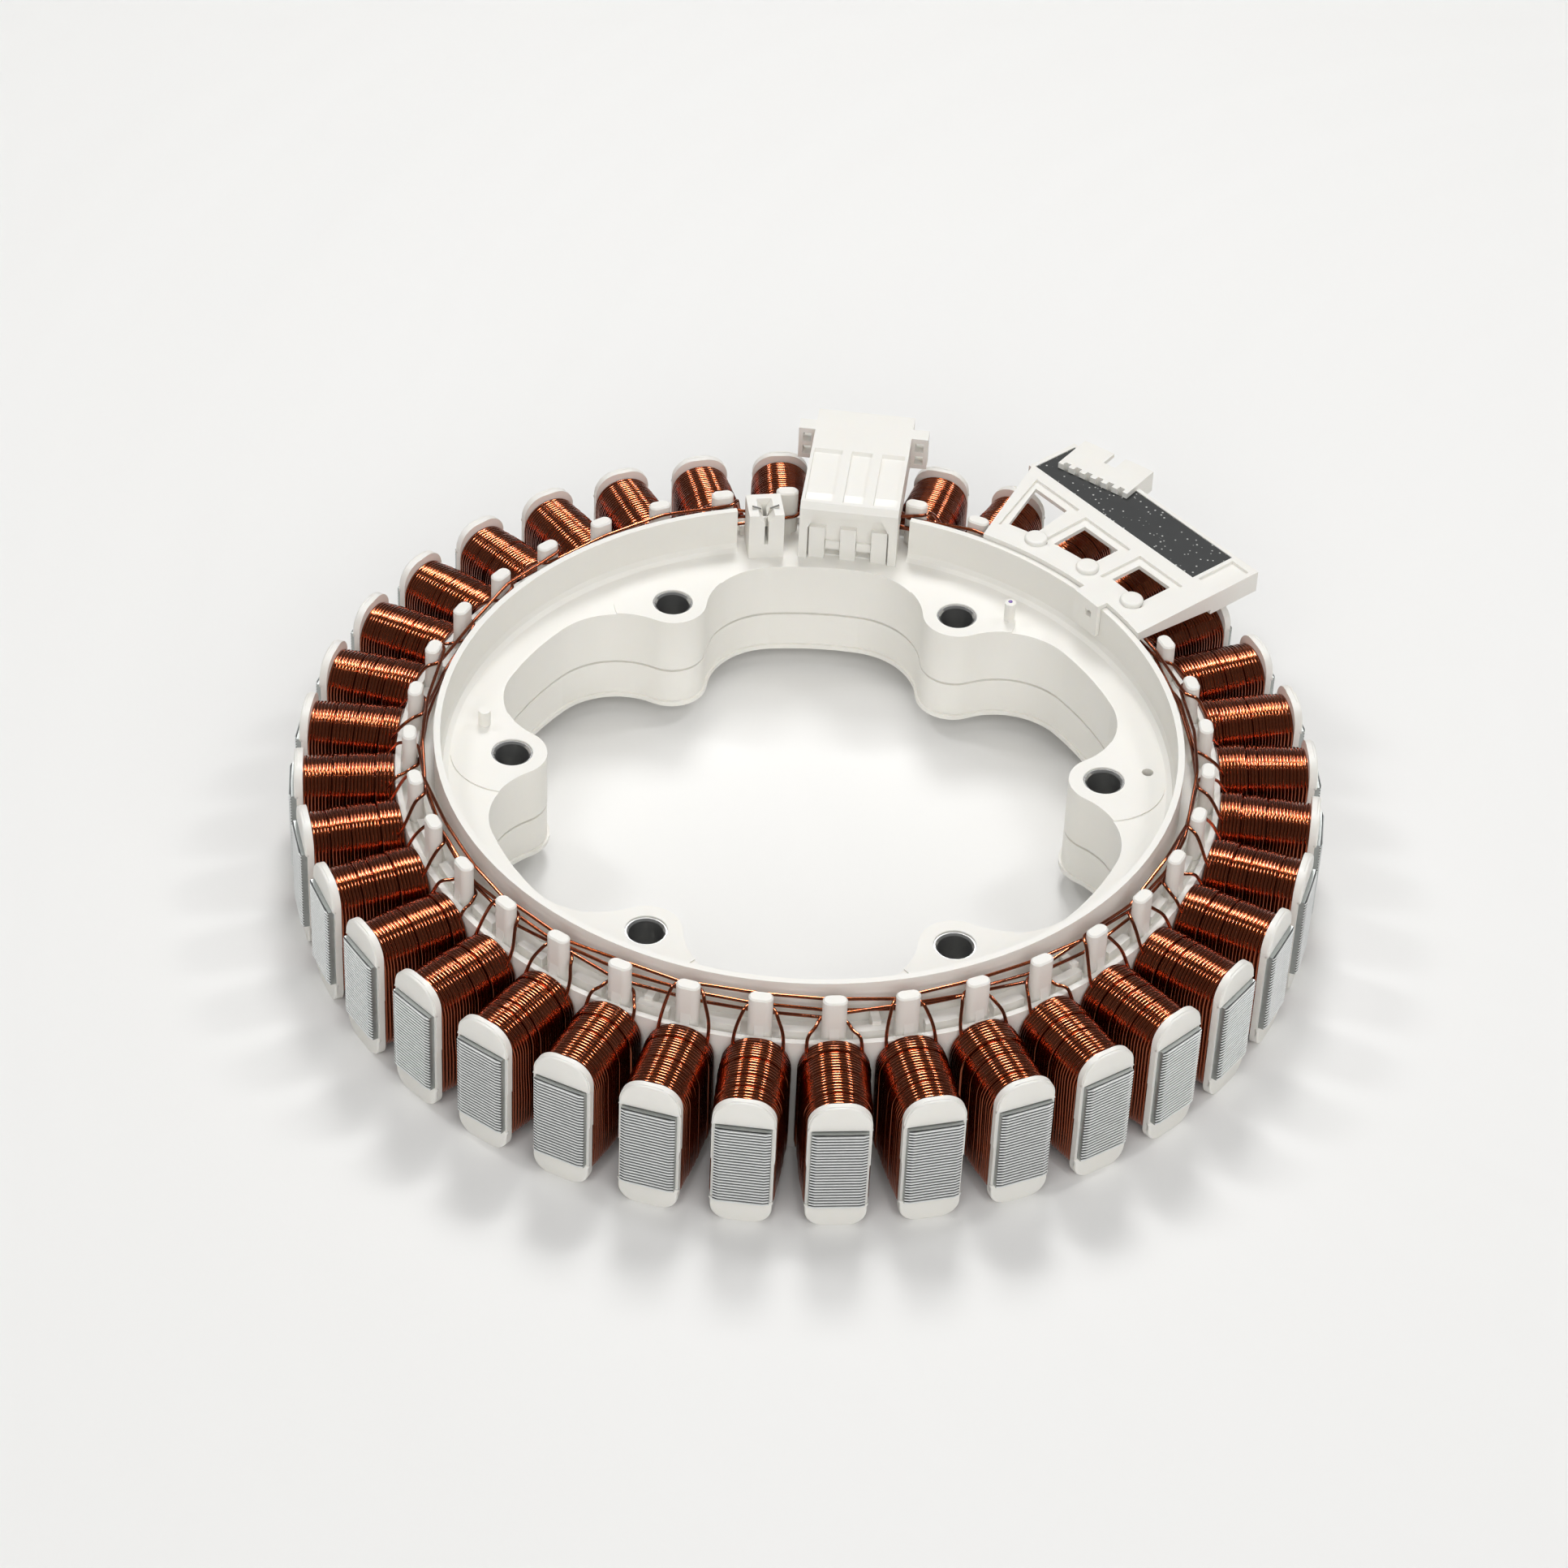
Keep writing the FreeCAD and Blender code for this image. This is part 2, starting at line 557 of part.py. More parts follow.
# --- bushes -----------------------------------------------------------------
def bushes():
    """Six steel bushes that take the mounting bolts."""
    bore = [(BUSH_BORE_R + BUSH_CHAMFER, 0), (BUSH_BORE_R, BUSH_CHAMFER)]
    bore += [(BUSH_BORE_R, BODY_H - BUSH_CHAMFER), (BUSH_BORE_R + BUSH_CHAMFER, BODY_H)]
    outline = [Vector(x, 0, z) for x, z in bore + [(BUSH_R, BODY_H), (BUSH_R, 0)]]
    face = Part.Face(Part.makePolygon(outline + outline[:1]))
    one = face.revolve(Vector(0, 0, 0), UP, 360)
    one.translate(Vector(BOLT_CIRCLE_R, 0, 0))
    return Part.makeCompound([turned(one, BOLT_PITCH * k) for k in range(BOLTS)])


# --- power connector --------------------------------------------------------
def plug_housing():
    """Three-way power connector that stands in the rim gap over one tooth."""
    half = PLUG_W / 2
    foot = PLUG_FRONT + PLUG_FOOT_D
    profile = [(PLUG_FRONT, BODY_H), (foot, BODY_H), (foot, PLUG_UNDER_Z), (PLUG_BACK, PLUG_UNDER_Z)]
    profile += [(PLUG_BACK, PLUG_TOP_Z), (PLUG_FRONT + 1.6, PLUG_TOP_Z), (PLUG_FRONT, PLUG_TOP_Z - 1.4)]
    body = side_prism(profile, -half, half)
    wide, top, cut = PLUG_WINDOW_W / 2, BODY_H + PLUG_WINDOW_H, PLUG_WINDOW_CUT
    window = [(-wide, BODY_H - 1), (wide, BODY_H - 1), (wide, top - cut)]
    window += [(wide - cut / 2, top), (-wide + cut / 2, top), (-wide, top - cut)]
    cuts = [end_prism(window, PLUG_FRONT - 1, PLUG_FRONT + PLUG_WINDOW_D)]
    tongues, pockets = [], []
    back = PLUG_FRONT + PLUG_WINDOW_D
    for side in (-1, 0, 1):
        y = side * WAY_PITCH
        tongues.append(box(back - 1.5, back, y - PLUG_TONGUE_W / 2, y + PLUG_TONGUE_W / 2,
                           BODY_H, BODY_H + PLUG_TONGUE_H))
        pockets.append(box(PLUG_BACK - WAY_DEPTH, PLUG_BACK + 1, y - WAY_W / 2, y + WAY_W / 2,
                           WAY_Z - WAY_H / 2, WAY_Z + WAY_H / 2))
    for side in (-0.5, 0.5):
        y = side * WAY_PITCH
        pockets.append(box(back - 1, back + 1.8, y - 2.0, y + 2.0, BODY_H + 0.4, BODY_H + 2.2))
        tongues.append(box(back - 0.8, back, y - 2.0, y + 2.0, BODY_H + 2.9, BODY_H + 5.4))
    x0, x1 = PLUG_PANEL_X
    low, drop = PLUG_TOP_Z - PLUG_PANEL_D, PLUG_PANEL_D * 2.4
    panel = [(x0, PLUG_TOP_Z + 1), (x0, low - drop), (x0 + 1.6, low - drop / 3), (x0 + 4.5, low)]
    panel += [(x1 - PLUG_PANEL_D, low), (x1, PLUG_TOP_Z + 0.1), (x1, PLUG_TOP_Z + 1)]
    sides = [-half + 0.9]
    for middle in PLUG_RIBS_Y:
        sides += [middle - PLUG_RIB_W / 2, middle + PLUG_RIB_W / 2]
    sides.append(half - 0.9)
    pockets += [side_prism(panel, y0, y1) for y0, y1 in zip(sides[::2], sides[1::2])]
    wings = []
    for side in (-1, 1):
        y0, y1 = sorted((side * half, side * (half + WING_W + 1.2)))
        wing = box(WING_X, WING_X + WING_T, y0, y1, PLUG_UNDER_Z, PLUG_TOP_Z)
        hole_y = sorted((side * (half + 1.1), side * (half + WING_W)))
        for z0 in (PLUG_UNDER_Z + 1.4, PLUG_UNDER_Z + 5.6):
            wing = wing.cut(box(WING_X - 1, WING_X + WING_T + 1, hole_y[0], hole_y[1], z0, z0 + 2.8))
        wings.append(wing)
    body = body.cut(cuts[0]).multiFuse(tongues + wings).cut(Part.makeCompound(pockets))
    return turned(body, PLUG_ANGLE)


def plug_terminals():
    """Three blade terminals inside the power connector."""
    out = []
    for side in (-1, 0, 1):
        y = side * WAY_PITCH
        root = PLUG_BACK - WAY_DEPTH
        blade = box(root, root + BLADE_L, y - BLADE_W / 2, y + BLADE_W / 2,
                    WAY_Z - BLADE_T / 2, WAY_Z + BLADE_T / 2)
        out.append(turned(blade, PLUG_ANGLE))
    return Part.makeCompound(out)


def star_terminal():
    """Splice terminal that joins the three phase ends."""
    x = STAR_FRONT + 3.2
    plate = [(-CRIMP_W / 2, STAR_TOP_Z - 6), (CRIMP_W / 2, STAR_TOP_Z - 6)]
    plate += [(CRIMP_W / 2, STAR_TOP_Z + 0.8), (1.2, STAR_TOP_Z - 0.2), (0.5, STAR_TOP_Z - 3)]
    plate += [(-0.5, STAR_TOP_Z - 3), (-1.2, STAR_TOP_Z - 0.2), (-CRIMP_W / 2, STAR_TOP_Z + 0.8)]
    return turned(end_prism(plate, x, x + CRIMP_T), STAR_ANGLE)


# --- position sensor --------------------------------------------------------
def jack_block(grow):
    """Outer block of the sensor connector, grown by a clearance."""
    block = box(JACK_X0 - grow, JACK_X1 + grow, JACK_Y0 - grow, JACK_Y1 + grow, JACK_Z0, JACK_TOP_Z)
    return turned(block, JACK_ANGLE)


def holder_windows(grow, z0, z1):
    """Three window prisms of the holder, each grown on all sides."""
    inner, outer = WINDOW_X0 - grow, WINDOW_X1 + grow
    left_edge = -HOLDER_LEFT - HOLDER_LEAN * (HOLDER_LEAN_X - WINDOW_X1)
    first = [(inner, -12.8 - grow), (outer, -12.8 - grow), (outer, -0.7 + grow), (inner, -0.7 + grow)]
    second = [(inner, 7.8 - grow), (outer, 7.8 - grow), (outer, 21.2 + grow), (inner, 20.4 + grow)]
    third = [(95.0, 25.6 - grow), (outer + 1, 29.6 - grow)]
    third += [(outer + 1, left_edge - 4.6 + grow), (95.0, left_edge - 14.6 + grow)]
    rounds = disc(WINDOW_R - grow, z0 - 1, z1 + 1)
    return [prism(w, z0, z1).cut(rounds) for w in (first, second, third)]


def holder_clip():
    """Clip of the holder: a bridge over the rim and a tab down its inner face."""
    first, last = CLIP_ANGLES
    width = math.radians(last - first) * RIM_R0
    inner = RIM_R0 - FIT - CLIP_T
    bridge = box(inner, HOLDER_R0 + 1.5, -width / 2, width / 2, RIM_TOP_Z + FIT, HOLDER_TOP_Z)
    tab = box(inner, RIM_R0 - FIT, -width / 2, width / 2, CLIP_LOW_Z, HOLDER_TOP_Z)
    rounded = ring(inner, HOLDER_R0 + 1.5, CLIP_LOW_Z - 1, HOLDER_TOP_Z + 1)
    keep_off = ring(RIM_R0 - FIT, RIM_R1 + FIT, CLIP_LOW_Z - 1, RIM_TOP_Z + FIT)
    catch = box(inner - 1, RIM_R0, -2.2, 0.0, 36.8, 38.8)
    return turned(bridge.fuse(tab).common(rounded).cut(keep_off).cut(catch), (first + last) / 2)


def sensor_holder():
    """Bracket with three windows and a tray for the sensor board."""
    low = HOLDER_TOP_Z - HOLDER_T
    left = -HOLDER_LEFT
    outline = [(80.0, -HOLDER_RIGHT), (HOLDER_BACK, -HOLDER_RIGHT), (HOLDER_BACK, left)]
    outline += [(HOLDER_LEAN_X, left), (80.0, left - HOLDER_LEAN * (HOLDER_LEAN_X - 80.0))]
    plate = prism(outline, low, HOLDER_TOP_Z)
    tray = box(TRAY_X0 - HOLDER_SKIRT, HOLDER_BACK, -HOLDER_RIGHT, left, TRAY_LOW_Z, HOLDER_TOP_Z)
    side = [(HOLDER_BACK, TRAY_LOW_Z), (HOLDER_BACK, low + 0.5)]
    side += [(HOLDER_R0 - 3, low + 0.5), (HOLDER_R0 - 3, low - 0.6)]
    skirt = side_prism(side, -HOLDER_RIGHT, -HOLDER_RIGHT + HOLDER_SKIRT)
    shelf = box(JACK_X0 - 3, JACK_X1 - 1.5, JACK_Y0 + 1, JACK_Y1 - 1, JACK_Z0 - 1.6, JACK_Z0)
    shelf = turned(shelf, JACK_ANGLE - HOLDER_ANGLE)
    whole = plate.multiFuse([tray, skirt, shelf])
    cuts = [box(TRAY_X0, TRAY_X1, TRAY_Y0, TRAY_Y1, TRAY_FLOOR_Z, HOLDER_TOP_Z + 1)]
    cuts.append(disc(HOLDER_R0, 0, HOLDER_TOP_Z + 1))
    cuts += holder_windows(0.0, low - 1, HOLDER_TOP_Z + 1)
    cuts += holder_windows(WINDOW_RIM, HOLDER_TOP_Z - WINDOW_STEP, HOLDER_TOP_Z + 1)
    cuts.append(box(TRAY_X0 + 1, TRAY_X1 - 1, -HOLDER_RIGHT + 1.4, TRAY_Y0 - 1.2,
                    HOLDER_TOP_Z - WINDOW_STEP, HOLDER_TOP_Z + 1))
    whole = turned(whole.cut(Part.makeCompound(cuts)), HOLDER_ANGLE)
    half = POST_W / 2 - POST_D / 2
    grown = POST_D / 2 + FIT
    stem = box(-grown, grown, -half, half, low - 2, HOLDER_TOP_Z + 1)
    for y in (-half, half):
        stem = stem.fuse(disc(grown, low - 2, HOLDER_TOP_Z + 1, 0, y))
    stem.translate(Vector(POST_R, 0, 0))
    holes = [turned(stem, tooth_angle(k)) for k in STAKED_TEETH]
    whole = whole.fuse(holder_clip())
    return whole.cut(Part.makeCompound(holes)).cut(jack_block(0.0))


def sensor_board():
    """Circuit board on the tray floor."""
    board = box(TRAY_X0, TRAY_X1, TRAY_Y0, TRAY_Y1, TRAY_FLOOR_Z, BOARD_TOP_Z)
    return turned(board, HOLDER_ANGLE).cut(jack_block(0.0))


def hall_sensors():
    """Three sensor packages on the board, one for each phase."""
    depth, width, height = SENSOR_SIZE
    out = []
    for k in STAKED_TEETH:
        spot = polar(SENSOR_X, tooth_angle(k) - HOLDER_ANGLE + TOOTH_PITCH / 2)
        x, y = min(spot.x, TRAY_X1 - depth), spot.y
        out.append(box(x - depth / 2, x + depth / 2, y - width / 2, y + width / 2,
                       BOARD_TOP_Z, BOARD_TOP_Z + height))
    return turned(Part.makeCompound(out), HOLDER_ANGLE)


def sensor_resin():
    """Potting resin that fills the tray over the board."""
    fill = box(TRAY_X0, TRAY_X1, TRAY_Y0, TRAY_Y1, BOARD_TOP_Z, RESIN_TOP_Z)
    return turned(fill, HOLDER_ANGLE).cut(jack_block(0.0)).cut(hall_sensors())


def sensor_jack():
    """Small connector at the tray's outer edge, open outward."""
    block = box(JACK_X0, JACK_X1, JACK_Y0, JACK_Y1, JACK_Z0, JACK_TOP_Z)
    mouth = box(JACK_X0 + 5.5, JACK_X1 + 1, JACK_Y0 + 1.4, JACK_Y1 - 1.4, JACK_Z0 + 1.2, JACK_TOP_Z - 1.2)
    key = box(JACK_X0 + 8, JACK_X1 + 1, 0.8, 4.6, JACK_TOP_Z - 1.3, JACK_TOP_Z + 1)
    cuts = [mouth, key]
    middle = (JACK_Y0 + JACK_Y1) / 2
    for k in range(JACK_PINS + 1):
        y = middle + (k - JACK_PINS / 2) * JACK_PIN_PITCH
        cuts.append(box(JACK_X0 - 1, JACK_X0 + JACK_TOOTH, y - 0.9, y + 0.9, JACK_Z0 + 1, JACK_TOP_Z + 1))
    return turned(block.cut(Part.makeCompound(cuts)), JACK_ANGLE)


def jack_pins():
    """Contact pins of the sensor connector."""
    middle = (JACK_Y0 + JACK_Y1) / 2
    z = (JACK_Z0 + JACK_TOP_Z) / 2
    out = []
    for k in range(JACK_PINS):
        y = middle + (k - (JACK_PINS - 1) / 2) * JACK_PIN_PITCH
        out.append(box(JACK_X0 + 5.5, JACK_X1 - 4.0, y - 0.32, y + 0.32, z - 0.32, z + 0.32))
    return turned(Part.makeCompound(out), JACK_ANGLE)


# --- build ------------------------------------------------------------------
os.makedirs("parts", exist_ok=True)

write("lamination_core", lamination_core())
write("upper_insulator", upper_insulator())
write("lower_insulator", lower_insulator())
write("mounting_bushes", bushes())
one_coil = coil()
for number in range(TEETH):
    write("coil_%02d" % (number + 1), turned(one_coil, tooth_angle(FIRST_COIL + number)))
for number, name in enumerate(("u", "v", "w")):
    write("phase_wire_" + name, phase_wires(number))
write("power_connector_housing", plug_housing())
write("power_terminals", plug_terminals())
write("star_terminal", star_terminal())
write("sensor_holder", sensor_holder())
write("sensor_board", sensor_board())
write("hall_sensors", hall_sensors())
write("sensor_resin", sensor_resin())
write("sensor_connector", sensor_jack())
write("sensor_pins", jack_pins())
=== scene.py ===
import logging
import math
import random
from dataclasses import dataclass
from enum import Enum

import bmesh
import bpy
from mathutils import Matrix, Vector, noise


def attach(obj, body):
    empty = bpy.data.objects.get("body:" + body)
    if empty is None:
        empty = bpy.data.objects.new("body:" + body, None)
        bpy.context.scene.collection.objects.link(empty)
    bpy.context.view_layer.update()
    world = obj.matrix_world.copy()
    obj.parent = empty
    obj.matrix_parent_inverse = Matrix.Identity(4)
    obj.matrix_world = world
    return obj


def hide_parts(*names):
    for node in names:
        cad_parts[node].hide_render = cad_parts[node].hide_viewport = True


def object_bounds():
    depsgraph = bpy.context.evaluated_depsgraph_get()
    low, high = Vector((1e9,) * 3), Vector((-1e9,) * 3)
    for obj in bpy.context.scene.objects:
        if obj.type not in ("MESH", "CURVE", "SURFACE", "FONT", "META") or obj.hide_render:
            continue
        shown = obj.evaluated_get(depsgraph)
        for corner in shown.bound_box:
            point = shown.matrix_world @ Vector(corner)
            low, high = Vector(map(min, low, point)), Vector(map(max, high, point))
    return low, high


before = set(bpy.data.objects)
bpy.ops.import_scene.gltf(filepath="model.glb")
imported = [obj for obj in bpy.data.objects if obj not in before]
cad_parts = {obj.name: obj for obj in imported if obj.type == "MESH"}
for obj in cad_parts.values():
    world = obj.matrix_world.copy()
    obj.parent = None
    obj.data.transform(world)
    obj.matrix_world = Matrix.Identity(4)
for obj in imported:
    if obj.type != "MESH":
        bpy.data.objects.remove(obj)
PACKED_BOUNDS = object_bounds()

LOG = logging.getLogger("stator_scene")
MM = 0.001
TEETH = 36
TOOTH_PITCH = 360.0 / TEETH
FIRST_TOOTH = 5.0
FIRST_COIL = 9
PHASES = 3
BODY = "root"
PHASE_NAMES = "uvw"
SHEET_COUNT = 26
STACK_LOW = 1.0
STACK_HEIGHT = 24.4
CLOUD_DETAIL = 4.0
SOFT_SPREAD = (1.0, 0.8, 0.6)
SOFT_DEPTH = 0.001
# Painted shade: the dark colour put into the gaps between stacked sheets, where shade falls in the
# grooves.
GAP_SHADE_COLOUR = (0.02, 0.02, 0.02, 1.0)
GAP_SHADE_ENDS = (0.16, 0.82)
SHEET_ENDS = (0.27, 0.68)
SPECK_CELLS = 620.0
SPECK_CORE = 0.6
SPECK_COLOUR = (0.55, 0.55, 0.53, 1.0)
TABLE_COLOUR = (0.905, 0.90, 0.885, 1.0)
TABLE_ROUGHNESS = 0.8
TABLE_HALF_WIDTH = 6.0
SURROUND_COLOUR = (1.0, 0.995, 0.985, 1.0)
SURROUND_STRENGTH = 0.18


class Slot(Enum):
    """Material slots of the record; no piece in this script is given them."""

    COPPER = "enamelled_copper"
    STEEL = "core_steel"
    PLASTIC = "white_moulding"


def tooth_angle(index: float) -> float:
    """Direction of a tooth.

    Args:
        index: Tooth number, counted round the motor axis.

    Returns:
        Angle from +X in degrees.
    """
    return FIRST_TOOTH + TOOTH_PITCH * index


def place(x: float, y: float, z: float, angle: float) -> Vector:
    """Point given along and across a radius.

    Args:
        x: Distance out along the radius in millimetres.
        y: Distance across the radius in millimetres.
        z: Height in millimetres.
        angle: Direction of the radius in degrees.

    Returns:
        The point in metres in the row frame.
    """
    return Matrix.Rotation(math.radians(angle), 3, "Z") @ Vector((x, y, z)) * MM


# --- materials --------------------------------------------------------------
@dataclass(frozen=True)
class Finish:
    """Numbers that describe one procedural surface."""

    name: str
    base: tuple[float, float, float]
    shade: tuple[float, float, float]
    roughness: float
    metallic: float = 0.0
    grain: float = 400.0
    relief: float = 0.02
    relief_m: float = 0.0001
    coat: float = 0.0
    soft: float = 0.0
    specks: float = 0.0
    ior: float = 1.5
    coat_roughness: float = 0.05
    gap_shade_pitch: float = 0.0


class Paint:
    """Makes procedural node materials from finishes."""

    def __init__(self) -> None:
        self.made: dict[str, bpy.types.Material] = {}

    def material(self, finish: Finish) -> bpy.types.Material:
        """Material of a finish, made once.

        Args:
            finish: The surface's numbers.

        Returns:
            The Blender material.
        """
        if finish.name in self.made:
            return self.made[finish.name]
        mat = bpy.data.materials.new(finish.name)
        mat.use_nodes = True
        tree = mat.node_tree
        shader = tree.nodes["Principled BSDF"]
        shader.inputs["Roughness"].default_value = finish.roughness
        shader.inputs["Metallic"].default_value = finish.metallic
        shader.inputs["Coat Weight"].default_value = finish.coat
        shader.inputs["Coat Roughness"].default_value = finish.coat_roughness
        shader.inputs["Subsurface Weight"].default_value = finish.soft
        shader.inputs["Subsurface Radius"].default_value = SOFT_SPREAD
        shader.inputs["Subsurface Scale"].default_value = SOFT_DEPTH
        shader.inputs["IOR"].default_value = finish.ior
        coords = tree.nodes.new("ShaderNodeTexCoord")
        cloud = tree.nodes.new("ShaderNodeTexNoise")
        cloud.inputs["Scale"].default_value = finish.grain
        cloud.inputs["Detail"].default_value = CLOUD_DETAIL
        tree.links.new(coords.outputs["Object"], cloud.inputs["Vector"])
        mix = tree.nodes.new("ShaderNodeMix")
        mix.data_type = "RGBA"
        mix.inputs["A"].default_value = (*finish.shade, 1.0)
        mix.inputs["B"].default_value = (*finish.base, 1.0)
        tree.links.new(cloud.outputs["Fac"], mix.inputs["Factor"])
        colour = mix.outputs["Result"]
        if finish.specks > 0.0:
            colour = self.specks(tree, coords, colour, finish.specks)
        # Painted shade in the gaps between the stacked sheets.
        if finish.gap_shade_pitch > 0.0:
            colour = self.paint_gap_shade(tree, coords, colour, finish.gap_shade_pitch)
        tree.links.new(colour, shader.inputs["Base Color"])
        bump = tree.nodes.new("ShaderNodeBump")
        bump.inputs["Strength"].default_value = finish.relief
        bump.inputs["Distance"].default_value = finish.relief_m
        tree.links.new(cloud.outputs["Fac"], bump.inputs["Height"])
        tree.links.new(bump.outputs["Normal"], shader.inputs["Normal"])
        self.made[finish.name] = mat
        return mat

    @staticmethod
    def paint_gap_shade(
        tree: bpy.types.NodeTree,
        coords: bpy.types.Node,
        colour: bpy.types.NodeSocket,
        pitch: float,
    ) -> bpy.types.NodeSocket:
        """Paints shade into the gaps between stacked sheets, where the grooves fall in shadow.

        Args:
            tree: The material's node tree.
            coords: Its texture coordinate node.
            colour: The colour of a sheet's edge.
            pitch: Height of one sheet in metres.

        Returns:
            The colour with painted shade in the gaps.
        """
        split = tree.nodes.new("ShaderNodeSeparateXYZ")
        tree.links.new(coords.outputs["Object"], split.inputs["Vector"])
        sheet = tree.nodes.new("ShaderNodeMapRange")
        sheet.clamp = False
        sheet.inputs["From Min"].default_value = STACK_LOW * MM
        sheet.inputs["From Max"].default_value = STACK_LOW * MM + pitch
        tree.links.new(split.outputs["Z"], sheet.inputs["Value"])
        share = tree.nodes.new("ShaderNodeMath")
        share.operation = "FRACT"
        tree.links.new(sheet.outputs["Result"], share.inputs[0])
        ramp = tree.nodes.new("ShaderNodeValToRGB")
        stops = ramp.color_ramp.elements
        stops[0].position, stops[1].position = GAP_SHADE_ENDS
        for position in SHEET_ENDS:
            stops.new(position).color = (1.0, 1.0, 1.0, 1.0)
        stops[0].color = stops[-1].color = GAP_SHADE_COLOUR
        tree.links.new(share.outputs["Value"], ramp.inputs["Fac"])
        # Multiplies the painted gap shade into the sheet colour.
        gap_shade = tree.nodes.new("ShaderNodeMix")
        gap_shade.data_type = "RGBA"
        gap_shade.blend_type = "MULTIPLY"
        gap_shade.inputs["Factor"].default_value = 1.0
        tree.links.new(colour, gap_shade.inputs["A"])
        tree.links.new(ramp.outputs["Color"], gap_shade.inputs["B"])
        return gap_shade.outputs["Result"]

    @staticmethod
    def specks(
        tree: bpy.types.NodeTree,
        coords: bpy.types.Node,
        colour: bpy.types.NodeSocket,
        size: float,
    ) -> bpy.types.NodeSocket:
        """Adds pale dust specks over a colour.

        Args:
            tree: The material's node tree.
            coords: Its texture coordinate node.
            colour: The colour under the dust.
            size: Share of a cell that a speck fills.

        Returns:
            The colour with specks.
        """
        cells = tree.nodes.new("ShaderNodeTexVoronoi")
        cells.inputs["Scale"].default_value = SPECK_CELLS
        tree.links.new(coords.outputs["Object"], cells.inputs["Vector"])
        edge = tree.nodes.new("ShaderNodeMapRange")
        edge.inputs["From Min"].default_value = size
        edge.inputs["From Max"].default_value = size * SPECK_CORE
        tree.links.new(cells.outputs["Distance"], edge.inputs["Value"])
        dust = tree.nodes.new("ShaderNodeMix")
        dust.data_type = "RGBA"
        dust.inputs["B"].default_value = SPECK_COLOUR
        tree.links.new(edge.outputs["Result"], dust.inputs["Factor"])
        tree.links.new(colour, dust.inputs["A"])
        return dust.outputs["Result"]


PLASTIC = Finish(
    "moulded_white", (0.88, 0.862, 0.815), (0.85, 0.83, 0.775), 0.5,
    grain=60.0, soft=0.15, ior=1.42,
)
COPPER = Finish(
    "copper_enamel", (0.28, 0.058, 0.012), (0.19, 0.036, 0.007), 0.15,
    metallic=1.0, grain=90.0, relief=0.0, coat=0.6,
)
STEEL = Finish(
    "lamination_steel", (0.50, 0.52, 0.51), (0.36, 0.38, 0.37), 0.42,
    metallic=0.85, grain=700.0, relief=0.2,
)
# The sheet edges carry painted shade in the gaps between the sheets.
SHEETS = Finish(
    "sheet_edges", (0.90, 0.91, 0.90), (0.72, 0.74, 0.73), 0.5,
    metallic=0.3, grain=420.0, relief=0.0, gap_shade_pitch=STACK_HEIGHT * MM / SHEET_COUNT,
)
BUSH = Finish(
    "bush_steel", (0.55, 0.55, 0.54), (0.42, 0.42, 0.42), 0.2, metallic=0.9, grain=300.0
)
TIN = Finish("tinned_brass", (0.75, 0.74, 0.70), (0.60, 0.58, 0.54), 0.25, metallic=1.0)
RESIN = Finish(
    "potting_resin", (0.024, 0.026, 0.026), (0.014, 0.015, 0.015), 0.6,
    grain=180.0, relief=0.15, specks=0.2, ior=1.3,
)
INK = Finish("ink_dot", (0.20, 0.09, 0.45), (0.16, 0.07, 0.36), 0.5)
BOARD = Finish("board_green", (0.05, 0.20, 0.08), (0.04, 0.15, 0.06), 0.4)
PACKAGE = Finish("sensor_package", (0.02, 0.02, 0.02), (0.03, 0.03, 0.03), 0.5)

NODE_FINISHES: dict[str, Finish] = {
    "lamination_core": STEEL,
    "upper_insulator": PLASTIC,
    "lower_insulator": PLASTIC,
    "mounting_bushes": BUSH,
    "power_connector_housing": PLASTIC,
    "power_terminals": TIN,
    "star_terminal": TIN,
    "sensor_holder": PLASTIC,
    "sensor_board": BOARD,
    "hall_sensors": PACKAGE,
    "sensor_resin": RESIN,
    "sensor_connector": PLASTIC,
    "sensor_pins": TIN,
}


# --- pieces -----------------------------------------------------------------
def finish_piece(
    name: str, mesh: bmesh.types.BMesh, material: bpy.types.Material
) -> bpy.types.Object:
    """Turns a bmesh into a piece that rides on the body.

    Args:
        name: The piece's name.
        mesh: Its geometry in metres, freed here.
        material: Its material.

    Returns:
        The new object.
    """
    bmesh.ops.recalc_face_normals(mesh, faces=mesh.faces)
    data = bpy.data.meshes.new(name)
    mesh.to_mesh(data)
    mesh.free()
    data.materials.append(material)
    data.polygons.foreach_set("use_smooth", [True] * len(data.polygons))
    piece = bpy.data.objects.new(name, data)
    bpy.context.scene.collection.objects.link(piece)
    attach(piece, BODY)
    return piece


@dataclass
class CoilShape:
    """Size of one coil, in millimetres."""

    inner: float = 107.35
    outer: float = 130.85
    turns: int = 25
    half_width: float = 8.2
    top: float = 31.0
    low: float = -4.5
    top_corner: float = 7.8
    low_corner: float = 5.8
    depth: float = 2.4
    top_steps: int = 10
    low_steps: int = 5
    side_steps: int = 3
    wire_steps: int = 6
    edge_drop: float = 0.3
    swell: float = 0.30
    first_drop: float = 0.25
    raised_jump: tuple[float, float] = (0.20, 0.35)
    unevenness: float = 0.06
    groove_share: float = 0.30
    groove_depth: float = 0.75
    sink: float = 0.25
    sway: float = 0.35
    slant: float = 0.22
    middle: float = 12.0


